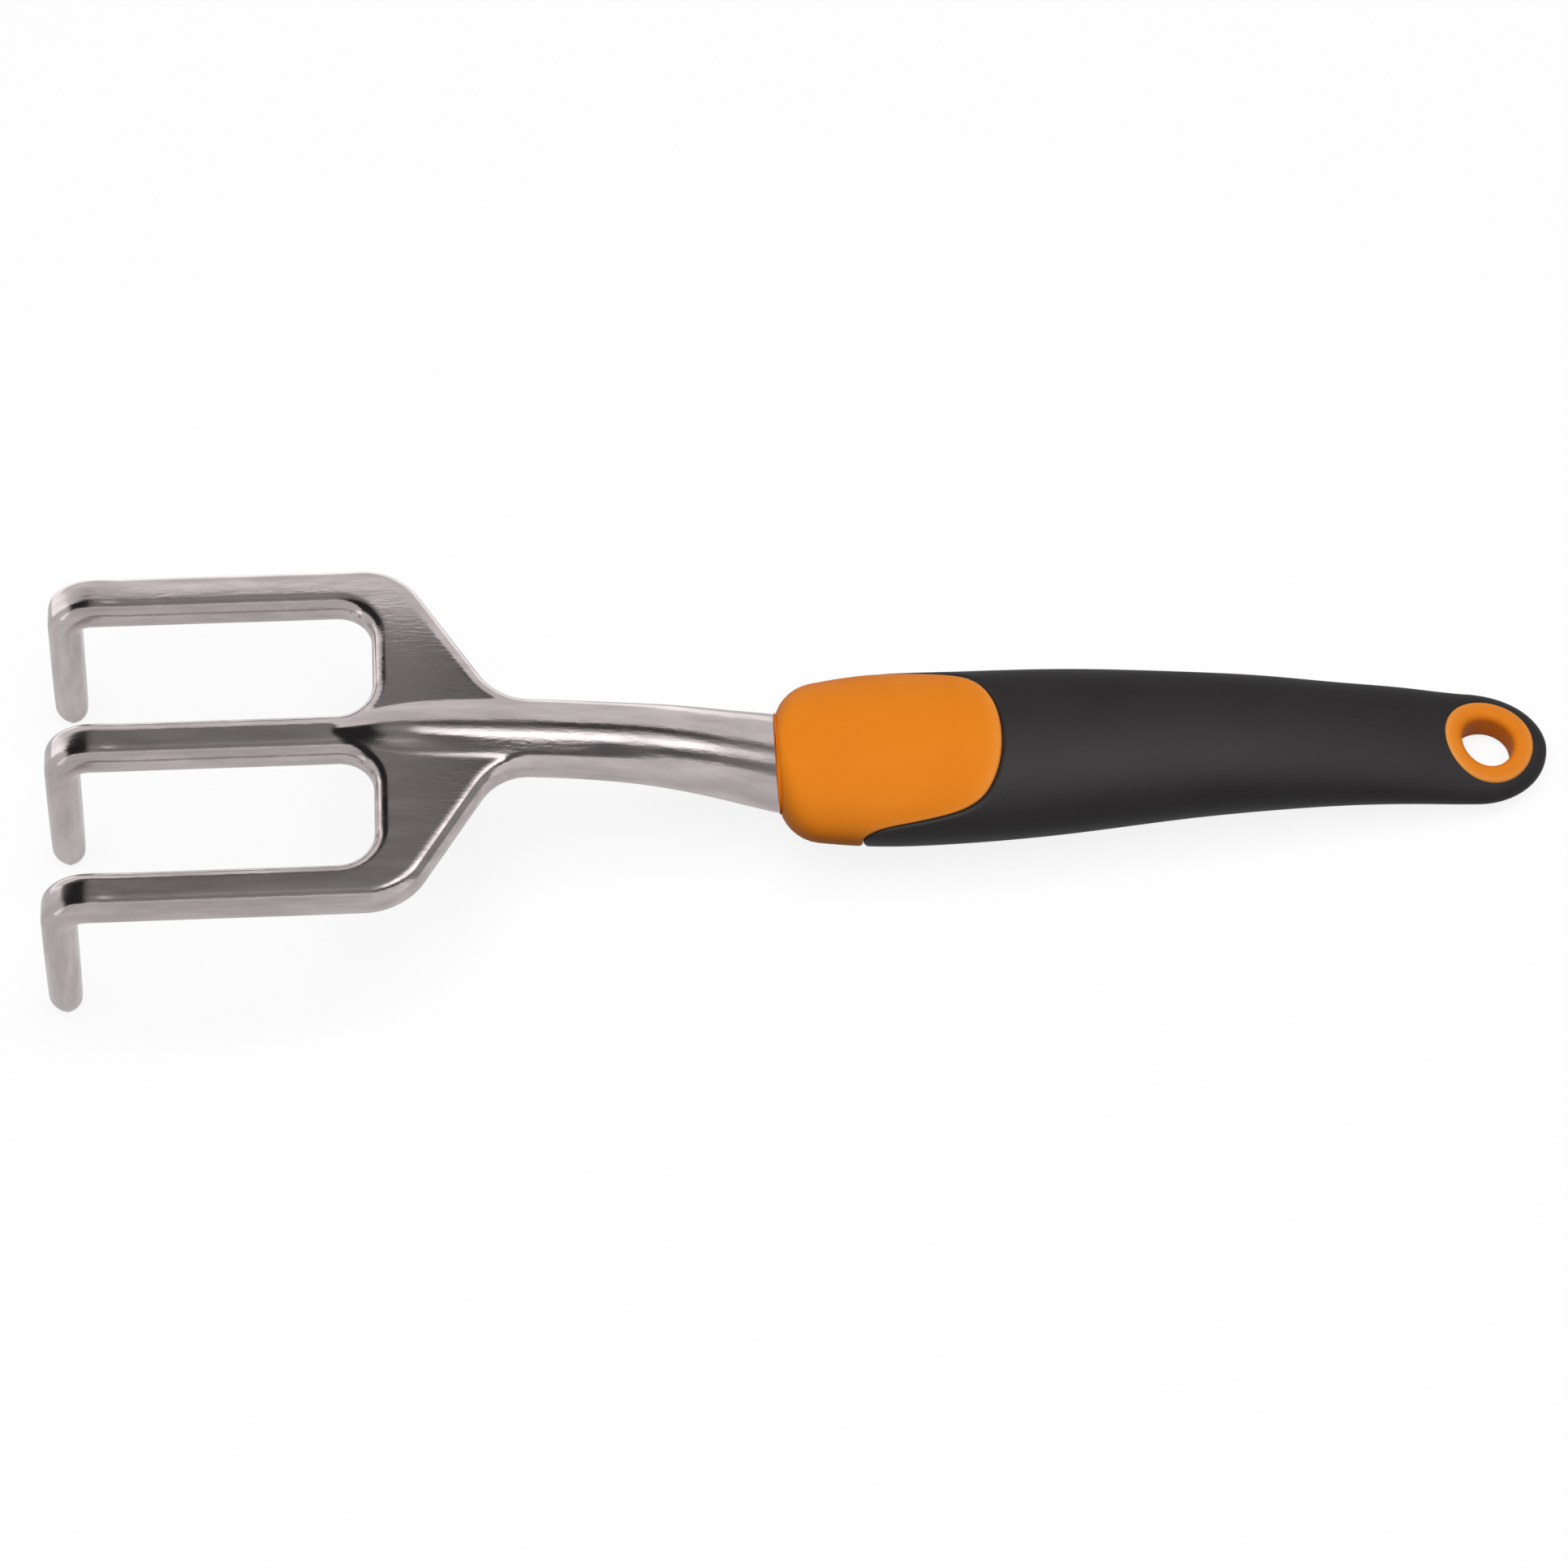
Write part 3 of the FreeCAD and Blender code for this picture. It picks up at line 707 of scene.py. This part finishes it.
# %% Surface marks
marks, given, result = node_group(
    "surface_marks",
    [("Place", "Vector", (0, 0, 0)), ("Colour", "Color", (0.5, 0.5, 0.5, 1)),
     ("Mark Colour", "Color", (0.4, 0.4, 0.4, 1)), ("Patch Size", "Float", 40.0),
     ("Grain Size", "Float", 1500.0), ("Marks", "Float", 0.3),
     ("Roughness", "Float", 0.5), ("Roughness Spread", "Float", 0.1)],
    [("Colour", "Color"), ("Roughness", "Float"), ("Grain", "Float")])
patches = add(marks, "TexNoise", {"Vector": given["Place"], "Scale": given["Patch Size"],
                                  "Detail": 4.0, "Roughness": 0.55}).outputs["Fac"]
grain = add(marks, "TexNoise", {"Vector": given["Place"], "Scale": given["Grain Size"],
                                "Detail": 3.0, "Roughness": 0.6}).outputs["Fac"]
patchy = add(marks, "MapRange", {"Value": patches, "From Min": 0.35, "From Max": 0.65}).outputs[0]
strength = calculate(marks, "MULTIPLY", patchy, given["Marks"])
speckle = calculate(marks, "MULTIPLY", grain, given["Marks"])
both = calculate(marks, "ADD", strength, calculate(marks, "MULTIPLY", speckle, 0.4))
marks.links.new(blend_colours(marks, both, given["Colour"], given["Mark Colour"]), result["Colour"])
centred = calculate(marks, "SUBTRACT", calculate(marks, "ADD", patchy, grain), 1.0)
spread = calculate(marks, "MULTIPLY", centred, given["Roughness Spread"])
marks.links.new(calculate(marks, "ADD", given["Roughness"], spread), result["Roughness"])
marks.links.new(grain, result["Grain"])
print("surface_marks:", len(marks.nodes), "nodes")

# %% [markdown]
# ### Edge wear and painted highlight
# Edges are rubbed first, by the hand and by the shed wall. The two mouldings' meshes carry how near
# every point is to such an edge, and there the colour turns paler, partly as wear and partly as a
# painted highlight on the rounded rim. A ragged noise breaks that up so it doesn't follow a ruler.
# The casting is bare metal and has no such values, so this step leaves it as it is.

# %% Edge wear and painted highlight
wear_highlight_group, given, result = node_group(
    "edge_wear_and_highlight",
    [("Place", "Vector", (0, 0, 0)), ("Edge", "Float", 0.0), ("Colour", "Color", (0.5, 0.5, 0.5, 1)),
     ("Worn And Highlight Colour", "Color", (0.7, 0.7, 0.7, 1)), ("Wear And Highlight", "Float", 0.5),
     ("Roughness", "Float", 0.5), ("Worn Roughness", "Float", 0.4)],
    [("Colour", "Color"), ("Roughness", "Float")])
ragged = add(wear_highlight_group, "TexNoise", {"Vector": given["Place"], "Scale": 260.0, "Detail": 5.0}).outputs["Fac"]
lifted = calculate(wear_highlight_group, "MULTIPLY", given["Edge"], calculate(wear_highlight_group, "ADD", ragged, 0.5))
amount = calculate(wear_highlight_group, "MULTIPLY", add(wear_highlight_group, "Clamp", {"Value": lifted}).outputs[0], given["Wear And Highlight"])
# Paler colour near an edge: partly rubbing, partly a painted highlight along the rounded rim.
wear_highlight_group.links.new(blend_colours(wear_highlight_group, amount, given["Colour"], given["Worn And Highlight Colour"]), result["Colour"])
worn = add(wear_highlight_group, "Mix", {0: amount, 2: given["Roughness"], 3: given["Worn Roughness"]}, data_type="FLOAT")
wear_highlight_group.links.new(worn.outputs[0], result["Roughness"])
print("edge_wear_and_highlight:", len(wear_highlight_group.nodes), "nodes")

# %% [markdown]
# ### One recipe for three finishes
# All three finishes are the same chain: a place on the piece, the marks, the wear and painted edge
# highlight, the shader. Only the values differ, so one function lays the chain.

# %% Finish recipe
def finish_material(name, place, colours, sizes, roughness, wear_and_highlight_values, bump):
    """A Principled material whose colour and roughness pass through the marks, then the edge wear and
    painted edge highlight, and whose bump takes its height from the same grain."""
    material = bpy.data.materials.new(name)
    material.use_nodes = True
    tree = material.node_tree
    shader = tree.nodes["Principled BSDF"]
    spot = place(tree)
    base, mark, worn_and_highlight_colour = ((*c, 1) for c in colours)
    patch_size, grain_size, amount = sizes
    first = add(tree, "Group", node_tree=marks)
    for key, value in (("Place", spot), ("Colour", base), ("Mark Colour", mark), ("Patch Size", patch_size),
                       ("Grain Size", grain_size), ("Marks", amount), ("Roughness", roughness[0]),
                       ("Roughness Spread", roughness[1])):
        plug(tree, value, first.inputs[key])
    edge = add(tree, "Attribute", attribute_name="edge").outputs["Fac"]
    second = add(tree, "Group", node_tree=wear_highlight_group)
    for key, value in (("Place", spot), ("Edge", edge), ("Colour", first.outputs["Colour"]),
                       ("Worn And Highlight Colour", worn_and_highlight_colour), ("Wear And Highlight", wear_and_highlight_values[0]),
                       ("Roughness", first.outputs["Roughness"]), ("Worn Roughness", wear_and_highlight_values[1])):
        plug(tree, value, second.inputs[key])
    tree.links.new(second.outputs["Colour"], shader.inputs["Base Color"])
    tree.links.new(second.outputs["Roughness"], shader.inputs["Roughness"])
    relief = add(tree, "Bump", {"Strength": bump[0], "Distance": bump[1], "Height": first.outputs["Grain"]})
    tree.links.new(relief.outputs["Normal"], shader.inputs["Normal"])
    return material, shader


def on_object(tree):
    """Object coordinates, for finishes with no direction."""
    return add(tree, "TexCoord").outputs["Object"]


def along_the_head(tree):
    """The head's own straightened coordinates, squeezed lengthwise, so that marks become streaks."""
    straight = add(tree, "Attribute", attribute_name="along").outputs["Vector"]
    return add(tree, "Mapping", {"Vector": straight, "Scale": (0.2, 1, 1)}).outputs[0]


print("finish recipe ready")

# %% [markdown]
# ### Polished aluminium
# The casting is ground and buffed along its length, which leaves fine streaks in that direction and
# a faint warm grey. It is bare metal, so its colour is the colour of its reflections.

# %% Finish of the head
polished, shader = finish_material(
    "polished_aluminium", along_the_head,
    ((0.72, 0.645, 0.65), (0.52, 0.46, 0.46), (0.76, 0.70, 0.70)), (330.0, 1800.0, 0.75), (0.15, 0.09),
    (0.5, 0.11), (0.10, 0.0002))
shader.inputs["Metallic"].default_value = 1.0
head.data.materials.append(polished)
print("head finish:", polished.name)

# %% [markdown]
# ### Orange hard plastic
# The core comes from a finely sparked mould, so it is matt and even. Its edges at the seam and round
# the hole turn paler, partly where they are rubbed and partly as a painted highlight on their rounded rims.

# %% Finish of the core
# The third colour is the paler edge: wear and a painted highlight on the rim.
orange, shader = finish_material(
    "orange_hard_plastic", on_object,
    ((0.82, 0.235, 0.010), (0.76, 0.205, 0.008), (0.90, 0.38, 0.09)), (60.0, 2200.0, 0.5), (0.5, 0.08),
    (0.8, 0.38), (0.08, 0.0002))
shader.inputs["Specular IOR Level"].default_value = 0.12
core.data.materials.append(orange)
print("core finish:", orange.name)

# %% [markdown]
# ### Charcoal soft grip
# Soft rubber of this kind is nearly black. What the eye reads as charcoal is mostly a broad, weak
# gloss that follows the light above it, so the colour is kept dark and the gloss wide.

# %% Finish of the grip
# The third colour is the paler seam edge: wear and a painted highlight on the rim.
charcoal, shader = finish_material(
    "charcoal_soft_grip", on_object,
    ((0.018, 0.016, 0.017), (0.024, 0.0215, 0.0225), (0.04, 0.037, 0.037)), (45.0, 1800.0, 0.6), (0.56, 0.08),
    (0.3, 0.48), (0.15, 0.0002))
shader.inputs["Specular IOR Level"].default_value = 0.4
grip.data.materials.append(charcoal)
print("grip finish:", charcoal.name)

# %% [markdown]
# ## The floor
# A sheet of white paper. It glows a little by itself for the camera and for reflections, as
# overexposed paper does, and shows only a faint contact shadow.

# %% Floor
FLOOR = 1.5
floor_mesh = bpy.data.meshes.new("floor")
floor_mesh.from_pydata([(-FLOOR, -FLOOR, 0), (FLOOR, -FLOOR, 0), (FLOOR, FLOOR, 0), (-FLOOR, FLOOR, 0)],
                       [], [(0, 1, 2, 3)])
floor = bpy.data.objects.new("floor", floor_mesh)
bpy.context.scene.collection.objects.link(floor)
paper = bpy.data.materials.new("white_paper")
paper.use_nodes = True
tree = paper.node_tree
shader = tree.nodes["Principled BSDF"]
shader.inputs["Base Color"].default_value = (0.13, 0.13, 0.13, 1)
shader.inputs["Roughness"].default_value = 0.9
shader.inputs["Specular IOR Level"].default_value = 0.0
shader.inputs["Emission Color"].default_value = (1, 1, 1, 1)
path = add(tree, "LightPath").outputs
lit = calculate(tree, "ADD", calculate(tree, "MULTIPLY", path["Is Camera Ray"], 0.87),
                calculate(tree, "MULTIPLY", path["Is Glossy Ray"], 0.55))
tree.links.new(lit, shader.inputs["Emission Strength"])
floor.data.materials.append(paper)

# %% [markdown]
# ## Studio light
# Polished metal shows nothing but its surroundings, so the light is built as a studio. The world's
# shader gives each direction its brightness by its angle about the tool's long axis: a bright strip
# above, dark gaps on either side of it and pale walls further down. The strip is brightest towards
# the handle, and the directions straight ahead and straight behind have a brightness of their own.

# %% World
BEHIND = [(0, 0.10), (40, 0.10), (47, 0.10), (51, 0.05), (59, 0.05), (66, 0.5), (73, 1.9), (84, 1.9),
          (88, 0.10), (100, 0.10), (112, 0.20), (180, 0.16)]
MIDDLE = [(0, 0.10), (40, 0.10), (46, 0.20), (64, 0.24), (74, 0.32), (88, 0.24), (106, 0.30), (122, 0.03),
          (136, 0.0), (150, 0.06), (180, 0.06)]
FRONT = [(0, 0.10), (34, 0.20), (44, 0.10), (52, 0.02), (115, 0.02), (128, 0.0), (180, 0.06)]
world = bpy.data.worlds.new("studio")
bpy.context.scene.world = world
world.use_nodes = True
tree = world.node_tree
background = tree.nodes["Background"]
way = add(tree, "SeparateXYZ", {0: add(tree, "TexCoord").outputs["Generated"]}).outputs
angle = calculate(tree, "DIVIDE", calculate(tree, "ARCTAN2", way["Z"], way["Y"]), math.pi)


def bands(stops):
    """Brightness by angle, as a colour ramp."""
    ramp = add(tree, "ValToRGB", {0: angle})
    elements = ramp.color_ramp.elements
    while len(elements) < len(stops):
        elements.new(0.5)
    for element, (degrees, bright) in zip(elements, stops):
        element.position = degrees / 180
        element.color = (bright, bright, bright, 1)
    return ramp.outputs[0]


def step_along(first, last):
    """A soft step from 0 to 1 as the direction's lengthwise part goes from first to last."""
    return add(tree, "MapRange", {"Value": way["X"], "From Min": first, "From Max": last},
               interpolation_type="SMOOTHSTEP").outputs[0]


light = blend_colours(tree, step_along(-0.22, -0.06), bands(FRONT), bands(MIDDLE))
light = blend_colours(tree, step_along(0.08, 0.22), light, bands(BEHIND))
faded = blend_colours(tree, step_along(0.55, 0.72), light, (0.30, 0.30, 0.30, 1))
light = blend_colours(tree, step_along(-0.72, -0.86), faded, (0.68, 0.68, 0.68, 1))
seen = add(tree, "LightPath").outputs["Is Camera Ray"]
tree.links.new(blend_colours(tree, seen, light, (0.95, 0.95, 0.95, 1)), background.inputs[0])
bpy.context.scene.view_settings.view_transform = "Standard"


print("world:", len(BEHIND) + len(MIDDLE) + len(FRONT), "band stops")

# %% [markdown]
# ## Soft boxes
# One large soft box above does the lighting. A white card behind the head and a pale wall in front of
# it are seen only as reflections in the metal and the orange, and a long box over the handle only as
# the gloss on the grip.

# %% Soft boxes
def soft_box(name, middle, facing, size, brightness):
    """A rectangular area light of an even brightness, which sends out pi times it times its area."""
    data = bpy.data.lights.new(name, "AREA")
    data.shape = "RECTANGLE"
    data.size, data.size_y = size
    data.energy = math.pi * brightness * size[0] * size[1]
    box = bpy.data.objects.new(name, data)
    bpy.context.scene.collection.objects.link(box)
    box.location = middle
    box.rotation_euler = Vector(facing).to_track_quat("-Z", "Y").to_euler()
    box.visible_camera = False
    return box


overhead = soft_box("overhead", (0, -0.17, 1.2), (0, 0.14, -1), (1.1, 0.9), 4.2)
overhead.visible_glossy = False
card = soft_box("white_card", (-0.02, 0.08, 0.062), (0, -1, 0), (0.60, 0.122), 0.67)
card.visible_diffuse = False
wall = soft_box("near_wall", (0, -1.0, 1.37), (0, 1, 0), (5.0, 2.74), 0.56)
wall.visible_diffuse = False
glow = soft_box("grip_glow", (0.07, -0.02, 0.8), (0, 0, -1), (1.2, 0.36), 2.0)
glow.visible_diffuse = False


def shines_on(box, *things):
    """Light linking: the box lights these things and no others."""
    receivers = bpy.data.collections.new(box.name + "_receivers")
    for thing in things:
        receivers.objects.link(thing)
    box.light_linking.receiver_collection = receivers


shines_on(card, head, core)
shines_on(wall, head, core)
shines_on(glow, grip)
print("soft boxes:", [box.name for box in (overhead, card, wall, glow)])
